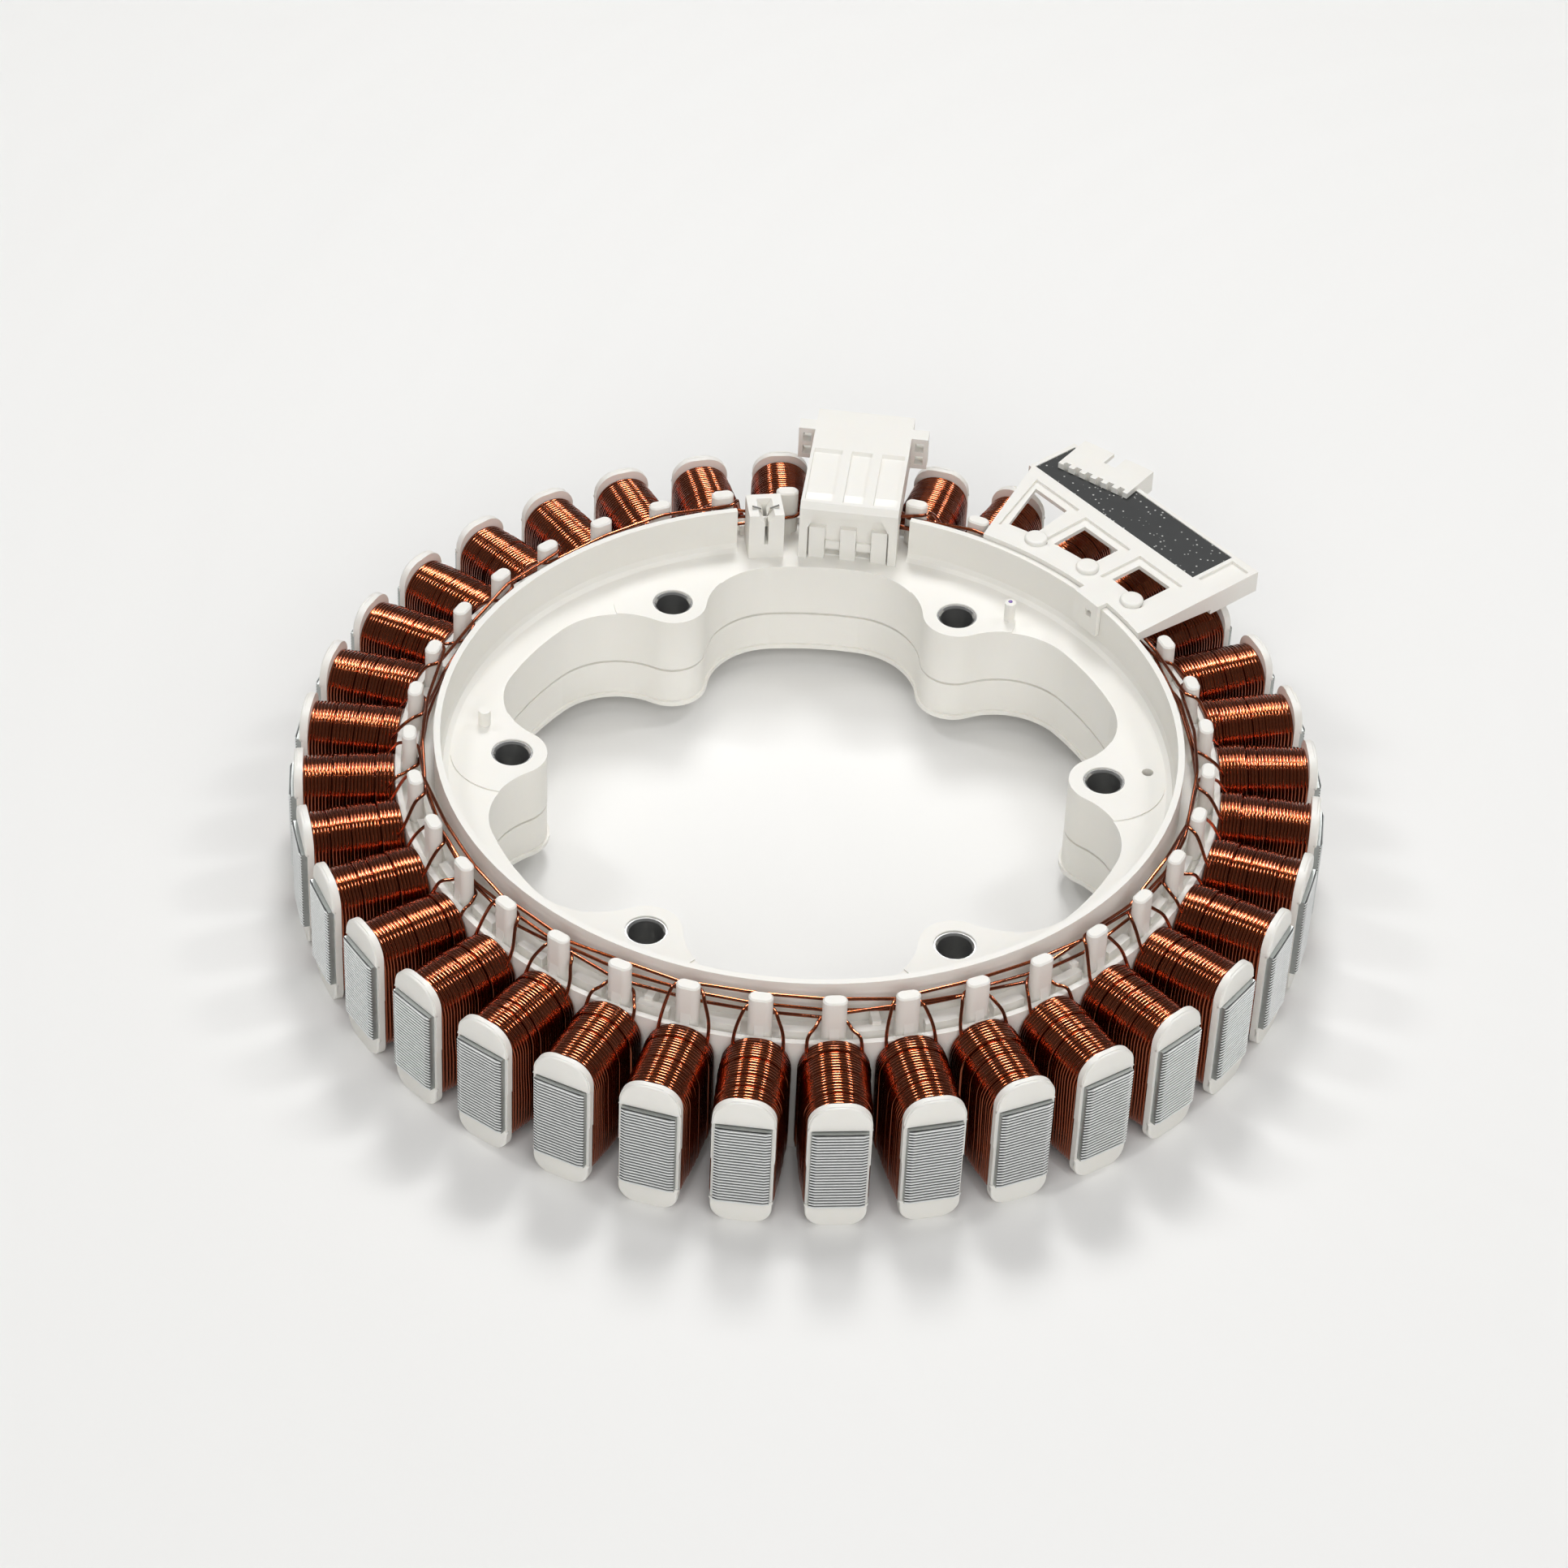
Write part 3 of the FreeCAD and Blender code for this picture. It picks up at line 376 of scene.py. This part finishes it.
class Coil:
    """One wound coil with its outer layer of turns."""

    def __init__(self, index: int, shape: CoilShape) -> None:
        self.index = index
        self.shape = shape
        self.seed = random.Random(100 + index)

    def profile(self) -> list[tuple[float, float]]:
        """Closed outline of the winding along the tooth.

        Returns:
            Points as distance out along the tooth and height over the layer.
        """
        s = self.shape
        pitch = (s.outer - s.inner) / s.turns
        raised = self.seed.randint(4, 8)
        jump = s.raised_jump[0] + s.raised_jump[1] * self.seed.random()
        grooves = {raised, self.seed.randint(11, 14)}
        if self.seed.random() < 0.4:
            grooves.add(self.seed.randint(17, 20))
        points = [(s.inner, -s.depth), (s.inner, -s.edge_drop)]
        x = s.inner
        for turn in range(s.turns):
            across = (turn + 0.5) / s.turns
            lift = s.swell * math.sin(math.pi * min(1.0, across * 1.1)) - s.swell * across ** 4
            lift += jump if turn < raised else 0.0
            lift -= s.first_drop if turn == 0 else 0.0
            lift += self.seed.uniform(-s.unevenness, s.unevenness)
            gap = s.groove_share * pitch if turn in grooves else 0.0
            if gap > 0.0:
                floor = lift - s.groove_depth
                points += [(x + 0.1 * gap, floor), (x + 0.9 * gap, floor)]
            radius = (pitch - gap) / 2
            for step in range(s.wire_steps + 1):
                a = math.pi * (0.08 + 0.84 * step / s.wire_steps)
                along = x + gap + radius - radius * math.cos(a)
                points.append((along, lift - s.sink + radius * math.sin(a)))
            x += pitch
        points += [(s.outer, -s.edge_drop), (s.outer, -s.depth)]
        return points

    def mesh(self) -> bmesh.types.BMesh:
        """Sweeps the outline round the tooth.

        Returns:
            The coil's closed mesh in metres, in place.
        """
        s = self.shape
        mesh = bmesh.new()
        verts = [mesh.verts.new((x, 0.0, s.top + h)) for x, h in self.profile()]
        edges = [mesh.edges.new(pair) for pair in zip(verts, verts[1:] + verts[:1])]
        crown, foot = s.half_width - s.top_corner, s.half_width - s.low_corner
        low, high = s.low + s.low_corner, s.top - s.top_corner
        upright = high - low
        route = [
            (Vector((0, crown, 0)), 1, (crown, high), s.top_steps),
            (Vector((0, 0, -upright)), s.side_steps, (foot, low), s.low_steps),
            (Vector((0, -2 * foot, 0)), 2, (-foot, low), s.low_steps),
            (Vector((0, 0, upright)), s.side_steps, (-crown, high), s.top_steps),
        ]
        for run, parts, (y, z), steps in route:
            for _ in range(parts):
                edges = self.extend(mesh, edges, run / parts)
            edges = self.corner(mesh, edges, y, z, steps)
        self.extend(mesh, edges, Vector((0, crown, 0)))
        bmesh.ops.remove_doubles(mesh, verts=mesh.verts, dist=0.001)
        self.relax(mesh)
        turn = Matrix.Rotation(math.radians(tooth_angle(self.index)), 4, "Z")
        bmesh.ops.transform(mesh, matrix=turn @ Matrix.Scale(MM, 4), verts=mesh.verts)
        return mesh

    @staticmethod
    def extend(
        mesh: bmesh.types.BMesh, edges: list[bmesh.types.BMEdge], run: Vector
    ) -> list[bmesh.types.BMEdge]:
        """Extrudes the outline along a straight run.

        Args:
            mesh: The coil's mesh.
            edges: The outline's present edges.
            run: The step of the run.

        Returns:
            The outline's new edges.
        """
        made = bmesh.ops.extrude_edge_only(mesh, edges=edges)["geom"]
        moved = [g for g in made if isinstance(g, bmesh.types.BMVert)]
        bmesh.ops.translate(mesh, vec=run, verts=moved)
        old = Coil.ends(edges)
        new_edges = [g for g in made if isinstance(g, bmesh.types.BMEdge)]
        return [edge for edge in new_edges if not set(edge.verts) & old]

    @staticmethod
    def ends(edges: list[bmesh.types.BMEdge]) -> set[bmesh.types.BMVert]:
        """Vertices of some edges.

        Args:
            edges: The edges.

        Returns:
            Their vertices.
        """
        return {v for e in edges for v in e.verts}

    def corner(
        self,
        mesh: bmesh.types.BMesh,
        edges: list[bmesh.types.BMEdge],
        y: float,
        z: float,
        steps: int,
    ) -> list[bmesh.types.BMEdge]:
        """Spins the outline round one corner.

        Args:
            mesh: The coil's mesh.
            edges: The outline's present edges.
            y: The corner centre's place across the tooth.
            z: The corner centre's height.
            steps: Steps of the quarter turn.

        Returns:
            The outline's new edges.
        """
        verts = list(self.ends(edges))
        made = bmesh.ops.spin(
            mesh,
            geom=verts + edges,
            cent=(0, y, z),
            axis=(1, 0, 0),
            angle=-math.pi / 2,
            steps=steps,
            use_duplicate=False,
        )["geom_last"]
        return [g for g in made if isinstance(g, bmesh.types.BMEdge)]

    def relax(self, mesh: bmesh.types.BMesh) -> None:
        """Moves turns a little along the tooth, as a real winding lies.

        Args:
            mesh: The coil's mesh.
        """
        s = self.shape
        for vert in mesh.verts:
            x, y, z = vert.co
            inside = min(x - s.inner, s.outer - x)
            if inside < 0.3:
                continue
            sway = noise.noise(Vector((x * 0.12, y * 0.10 + self.index * 7.0, z * 0.08)))
            side = 1.0 if z > s.middle else -1.0
            slant = s.slant * max(-1.0, min(1.0, y / s.half_width)) * side
            shift = s.sway * sway + slant * min(1.0, abs(z - s.middle) / 6.0)
            vert.co.x += shift * min(1.0, inside / 3.0)

    def build(self, material: bpy.types.Material) -> bpy.types.Object:
        """Makes the piece that stands for the plain coil.

        Args:
            material: The enamelled copper.

        Returns:
            The coil's object.
        """
        number = (self.index - FIRST_COIL) % TEETH + 1
        piece = finish_piece("winding_%02d" % number, self.mesh(), material)
        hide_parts("coil_%02d" % number)
        return piece


@dataclass(frozen=True)
class WireShape:
    """Sizes of the crossover wires, in millimetres."""

    radius: float = 0.45
    back: float = 100.9
    post: float = 103.4
    coil: float = 107.9
    hooks: tuple[float, float, float] = (33.9, 38.9, 36.2)
    arrivals: tuple[float, float, float] = (32.4, 37.6, 35.2)
    lowest: float = 31.8
    highest: float = 39.6
    star_angle: float = 98.6
    star_height: float = 37.5
    feed_angle: float = 442.0
    feed_height: float = 35.0


class PhaseWires:
    """Leads and crossovers of one phase, drawn behind the posts."""

    def __init__(self, phase: int, shape: WireShape) -> None:
        self.phase = phase
        self.shape = shape
        self.seed = random.Random(40 + phase)

    def lead(self, index: int, side: int, high: float) -> list[Vector]:
        """Route from a coil's shoulder up past its post and behind it.

        Args:
            index: The tooth.
            side: Which flank of the coil it leaves, -1 or 1.
            high: Height at which it bends round the post.

        Returns:
            Points in metres.
        """
        s = self.shape
        wide = self.seed.uniform(5.2, 6.4)
        angle = tooth_angle(index)
        route = [
            (s.coil + 1.4, wide + 0.6, 27.6),
            (s.coil - 0.3, wide + 0.5, 30.6),
            (s.coil - 1.6, wide, 31.6 + 0.35 * (high - 32.0)),
            (s.post + 0.9, 4.4, high - 0.7),
            (s.post - 0.6, 3.7, high + 0.1),
            (s.post - 2.0, 2.6, high + 0.1),
            (s.back, 1.0, high),
        ]
        return [place(x, side * y, z, angle) for x, y, z in route]

    def crossover(self, index: int) -> list[Vector]:
        """Route from one coil to the next coil of the phase.

        Args:
            index: The tooth that it leaves.

        Returns:
            Points in metres.
        """
        s = self.shape
        start = s.hooks[self.phase] + self.seed.uniform(-0.8, 0.6)
        end = s.arrivals[self.phase] + self.seed.uniform(-0.8, 0.8)
        points = self.lead(index, -1, start)
        for step in range(1, PHASES):
            share = step / PHASES
            z = start + (end - start) * share + self.seed.uniform(-2.6, 2.2)
            z = min(s.highest, max(s.lowest, z))
            depth = s.back - 0.4 + self.seed.uniform(-0.5, 0.3)
            for near in (-0.8, 0.8):
                points.append(place(depth, 0.0, z, tooth_angle(index + step) + near))
        return points + list(reversed(self.lead(index + PHASES, 1, end)))

    def ends(self) -> list[list[Vector]]:
        """Routes of the phase's two ends, to the terminal block and the connector.

        Returns:
            Two lists of points in metres.
        """
        s = self.shape
        first = FIRST_COIL + self.phase
        high = s.arrivals[self.phase]
        star = self.lead(first, 1, high)
        for share in (0.35, 0.7, 1.0):
            angle = tooth_angle(first)
            angle += (s.star_angle + 0.5 * self.phase - tooth_angle(first)) * share
            z = high + (s.star_height - self.phase - high) * share
            star.append(place(s.back - 1.2 * share, 0.0, z, angle))
        last = first + TEETH - PHASES
        high = s.hooks[self.phase]
        feed = self.lead(last, -1, high)
        for share in (0.4, 0.8, 1.0):
            angle = tooth_angle(last)
            angle += (s.feed_angle + 4.0 * self.phase - tooth_angle(last)) * share
            z = high + (s.feed_height - 1.2 * self.phase - high) * share
            feed.append(place(s.back - 0.4, 0.0, z, angle))
        return [star, feed]

    def build(self, material: bpy.types.Material) -> bpy.types.Object:
        """Makes the wires as one piece.

        Args:
            material: The enamelled copper.

        Returns:
            The wires' object.
        """
        name = "crossover_" + PHASE_NAMES[self.phase]
        curve = bpy.data.curves.new(name, "CURVE")
        curve.dimensions = "3D"
        curve.bevel_depth = self.shape.radius * MM
        curve.bevel_resolution = 3
        curve.resolution_u = 5
        curve.use_fill_caps = True
        first = FIRST_COIL + self.phase
        routes = [self.crossover(first + PHASES * k) for k in range(TEETH // PHASES - 1)]
        for route in routes + self.ends():
            spline = curve.splines.new("NURBS")
            spline.points.add(len(route) - 1)
            for point, co in zip(spline.points, route):
                point.co = (*co, 1.0)
            spline.order_u = 3
            spline.use_endpoint_u = True
        curve.materials.append(material)
        piece = bpy.data.objects.new(name, curve)
        bpy.context.scene.collection.objects.link(piece)
        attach(piece, BODY)
        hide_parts("phase_wire_" + PHASE_NAMES[self.phase])
        return piece


@dataclass
class SheetEdges:
    """Ridged pole faces of the wound lamination strip, in millimetres."""

    sheets: int = SHEET_COUNT
    low: float = STACK_LOW
    high: float = STACK_LOW + STACK_HEIGHT
    radius: float = 134.2
    half_width: float = 6.85
    ridge: float = 0.5
    end_ridge: float = 0.08
    sloped: float = 1.3

    def outline(self, ridge: float) -> list[tuple[float, float]]:
        """Section of a pole face, from its lowest sheet to its highest.

        Args:
            ridge: How far the sheets stand out.

        Returns:
            Points as radius and height.
        """
        pitch = (self.high - self.low) / self.sheets
        points = [(self.radius - 0.6, self.low)]
        for sheet in range(self.sheets):
            z = self.low + sheet * pitch
            points.append((self.radius - 0.1, z + 0.08 * pitch))
            points.append((self.radius + ridge, z + 0.26 * pitch))
            points.append((self.radius + ridge, z + 0.70 * pitch))
            points.append((self.radius - 0.1, z + 0.90 * pitch))
        points.append((self.radius - 0.6, self.high))
        return points

    def mesh(self) -> bmesh.types.BMesh:
        """Ridged faces of all teeth.

        Returns:
            The closed meshes in metres.
        """
        mesh = bmesh.new()
        flat = self.half_width - self.sloped
        stations = [
            (-self.half_width, self.end_ridge),
            (-flat, self.ridge),
            (flat, self.ridge),
            (self.half_width, self.end_ridge),
        ]
        for tooth in range(TEETH):
            loops = [
                [mesh.verts.new((x, y, z)) for x, z in self.outline(ridge)]
                for y, ridge in stations
            ]
            rings = [
                [mesh.edges.new(pair) for pair in zip(loop, loop[1:] + loop[:1])]
                for loop in loops
            ]
            for before, after in zip(rings, rings[1:]):
                bmesh.ops.bridge_loops(mesh, edges=before + after)
            for loop in (loops[0], loops[-1]):
                mesh.faces.new(loop)
            turn = Matrix.Rotation(math.radians(tooth_angle(tooth)), 4, "Z")
            verts = [v for loop in loops for v in loop]
            bmesh.ops.transform(mesh, matrix=turn @ Matrix.Scale(MM, 4), verts=verts)
        return mesh

    def build(self, material: bpy.types.Material) -> bpy.types.Object:
        """Makes the piece.

        Args:
            material: The bare steel.

        Returns:
            The pole faces' object.
        """
        piece = finish_piece("pole_faces", self.mesh(), material)
        piece.data.polygons.foreach_set("use_smooth", [False] * len(piece.data.polygons))
        return piece


@dataclass
class CapLips:
    """Rounded fronts of the tooth caps, in millimetres."""

    back: float = 132.3
    front: float = 133.2
    half_width: float = 7.95
    round_over: float = 0.45
    waist: float = 0.35
    shoulder: float = 0.9
    corner_steps: int = 6
    upper: tuple[float, float, float] = (25.5, 33.0, 6.4)
    lower: tuple[float, float, float] = (0.9, -6.3, 4.8)

    def outline(self, edge: float, tip: float, radius: float) -> list[tuple[float, float]]:
        """Outline of one cap front.

        Args:
            edge: Height of the straight edge beside the steel.
            tip: Height of the cap's end.
            radius: Corner radius at the end.

        Returns:
            Points across the tooth and in height.
        """
        side = 1.0 if tip > edge else -1.0
        narrow = self.half_width - self.waist
        centre = narrow - radius
        quarter = [math.pi / 2 * step / self.corner_steps for step in range(self.corner_steps + 1)]
        points = [(-self.half_width, edge), (self.half_width, edge)]
        points.append((narrow, edge + side * self.shoulder))
        for sign, angles in ((1.0, quarter), (-1.0, quarter[::-1])):
            for a in angles:
                y = sign * (centre + radius * math.cos(a))
                points.append((y, tip - side * (radius - radius * math.sin(a))))
        points.append((-narrow, edge + side * self.shoulder))
        return points

    def mesh(self) -> bmesh.types.BMesh:
        """Cap fronts of all teeth.

        Returns:
            The closed meshes in metres.
        """
        mesh = bmesh.new()
        for tooth in range(TEETH):
            for shape in (self.upper, self.lower):
                corners = [mesh.verts.new((self.back, y, z)) for y, z in self.outline(*shape)]
                face = mesh.faces.new(corners)
                made = bmesh.ops.extrude_face_region(mesh, geom=[face])["geom"]
                moved = [g for g in made if isinstance(g, bmesh.types.BMVert)]
                bmesh.ops.translate(mesh, vec=(self.front - self.back, 0, 0), verts=moved)
                lid = [g for g in made if isinstance(g, bmesh.types.BMFace)][0]
                known = set(mesh.verts) - set(moved) - set(face.verts)
                bmesh.ops.bevel(
                    mesh,
                    geom=list(lid.edges),
                    offset=self.round_over,
                    segments=3,
                    profile=0.5,
                    affect="EDGES",
                )
                turned = [v for v in mesh.verts if v not in known]
                turn = Matrix.Rotation(math.radians(tooth_angle(tooth)), 4, "Z")
                bmesh.ops.transform(mesh, matrix=turn @ Matrix.Scale(MM, 4), verts=turned)
        return mesh

    def build(self, material: bpy.types.Material) -> bpy.types.Object:
        """Makes the piece.

        Args:
            material: The white moulding.

        Returns:
            The cap fronts' object.
        """
        return finish_piece("cap_fronts", self.mesh(), material)


@dataclass
class PegMark:
    """Inspection mark on the end of one peg, in millimetres."""

    angle: float = 51.6
    centre: tuple[float, float, float] = (85.3, 0.25, 34.06)
    foot: float = 0.62
    tip: float = 0.5
    height: float = 0.16

    def build(self, material: bpy.types.Material) -> bpy.types.Object:
        """Makes the mark.

        Args:
            material: The ink.

        Returns:
            The mark's object.
        """
        mesh = bmesh.new()
        made = bmesh.ops.create_cone(
            mesh,
            cap_ends=True,
            segments=20,
            radius1=self.foot * MM,
            radius2=self.tip * MM,
            depth=self.height * MM,
        )
        bmesh.ops.translate(mesh, vec=place(*self.centre, self.angle), verts=made["verts"])
        return finish_piece("peg_mark", mesh, material)


# --- studio -----------------------------------------------------------------
@dataclass(frozen=True)
class Lens:
    """Place and lens of the camera."""

    place: tuple[float, float, float] = (-0.00453, -0.94211, 0.81241)
    elevation: float = 40.155
    roll: float = 2.743
    focal: float = 107.99
    shift: tuple[float, float] = (-0.00327, 0.00851)
    sensor: float = 36.0
    reach: tuple[float, float] = (0.01, 50.0)


@dataclass(frozen=True)
class Softbox:
    """One area lamp; it can be left out of reflections or of diffuse light."""

    name: str
    place: tuple[float, float, float]
    aim: tuple[float, float, float]
    size: tuple[float, float]
    power: float
    mirrored: bool = True
    diffuse: bool = True


class Studio:
    """Floor, background, lamps and camera."""

    def __init__(self, lens: Lens, lamps: list[Softbox]) -> None:
        self.lens = lens
        self.lamps = lamps

    def floor(self, height: float) -> None:
        """Pale table that the part lies on.

        Args:
            height: Its height in metres.
        """
        mesh = bmesh.new()
        bmesh.ops.create_grid(mesh, x_segments=1, y_segments=1, size=TABLE_HALF_WIDTH)
        bmesh.ops.translate(mesh, vec=(0, 0, height), verts=mesh.verts)
        data = bpy.data.meshes.new("table_top")
        mesh.to_mesh(data)
        mesh.free()
        mat = bpy.data.materials.new("table_white")
        mat.use_nodes = True
        shader = mat.node_tree.nodes["Principled BSDF"]
        shader.inputs["Base Color"].default_value = TABLE_COLOUR
        shader.inputs["Roughness"].default_value = TABLE_ROUGHNESS
        data.materials.append(mat)
        table = bpy.data.objects.new("table_top", data)
        bpy.context.scene.collection.objects.link(table)

    def background(self) -> None:
        """Even white surroundings."""
        world = bpy.data.worlds.new("studio")
        world.use_nodes = True
        shade = world.node_tree.nodes["Background"]
        shade.inputs["Color"].default_value = SURROUND_COLOUR
        shade.inputs["Strength"].default_value = SURROUND_STRENGTH
        bpy.context.scene.world = world

    def light(self) -> None:
        """Area lamps round the part."""
        for lamp in self.lamps:
            data = bpy.data.lights.new(lamp.name, "AREA")
            data.shape = "RECTANGLE"
            data.size, data.size_y = lamp.size
            data.energy = lamp.power
            item = bpy.data.objects.new(lamp.name, data)
            item.location = lamp.place
            item.visible_glossy = lamp.mirrored
            item.visible_diffuse = lamp.diffuse
            ray = Vector(lamp.aim) - Vector(lamp.place)
            item.rotation_euler = ray.to_track_quat("-Z", "Y").to_euler()
            bpy.context.scene.collection.objects.link(item)

    def camera(self) -> None:
        """Camera solved for the view."""
        lens = self.lens
        tilt, roll = math.radians(lens.elevation), math.radians(lens.roll)
        right = Vector((1, 0, 0))
        up = Vector((0, math.sin(tilt), math.cos(tilt)))
        ahead = Vector((0, math.cos(tilt), -math.sin(tilt)))
        x_axis = right * math.cos(roll) + up * math.sin(roll)
        y_axis = up * math.cos(roll) - right * math.sin(roll)
        basis = Matrix((x_axis, y_axis, -ahead)).transposed().to_4x4()
        data = bpy.data.cameras.new("camera")
        data.sensor_width = lens.sensor
        data.lens = lens.focal
        data.shift_x, data.shift_y = lens.shift
        data.clip_start, data.clip_end = lens.reach
        item = bpy.data.objects.new("camera", data)
        item.matrix_world = Matrix.Translation(lens.place) @ basis
        bpy.context.scene.collection.objects.link(item)
        bpy.context.scene.camera = item

    def build(self, height: float) -> None:
        """Sets the whole studio.

        Args:
            height: The table's height in metres.
        """
        self.floor(height)
        self.background()
        self.light()
        self.camera()
        bpy.context.scene.view_settings.view_transform = "Standard"


MIDDLE = (0.0, 0.0, 0.0)
LAMPS = [
    Softbox("back_box", (0.0, 0.85, 1.25), MIDDLE, (0.35, 0.4), 7.0),
    Softbox("left_box", (-0.85, 0.4, 1.25), MIDDLE, (0.2, 0.3), 2.8),
    Softbox("right_box", (0.85, 0.4, 1.25), MIDDLE, (0.2, 0.3), 2.8),
    Softbox("top_spot", (0.05, -0.22, 1.6), MIDDLE, (0.1, 0.1), 1.2),
    Softbox("front_box", (0.2, -1.7, 1.3), MIDDLE, (3.0, 1.6), 30.0, mirrored=False),
    Softbox("back_glint", (0.0, 0.6, 1.36), MIDDLE, (0.42, 0.28), 23.0, diffuse=False),
    Softbox("left_glint", (-0.83, 0.3, 1.25), MIDDLE, (0.22, 0.22), 10.0, diffuse=False),
    Softbox("right_glint", (0.83, 0.3, 1.25), MIDDLE, (0.22, 0.22), 10.0, diffuse=False),
]


def main() -> None:
    """Builds the dressed stator and its studio."""
    logging.basicConfig(level=logging.INFO)
    paint = Paint()
    for name, finish in NODE_FINISHES.items():
        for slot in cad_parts[name].material_slots:
            slot.material = paint.material(finish)
    copper = paint.material(COPPER)
    shape = CoilShape()
    pieces = [
        Coil(index, shape).build(copper) for index in range(FIRST_COIL, FIRST_COIL + TEETH)
    ]
    pieces += [PhaseWires(phase, WireShape()).build(copper) for phase in range(PHASES)]
    pieces.append(SheetEdges().build(paint.material(SHEETS)))
    pieces.append(CapLips().build(paint.material(PLASTIC)))
    pieces.append(PegMark().build(paint.material(INK)))
    for piece in pieces:
        LOG.info("made %s", piece.name)
    low = PACKED_BOUNDS[0][2]
    Studio(Lens(), LAMPS).build(low)


if __name__ == "__main__":
    main()
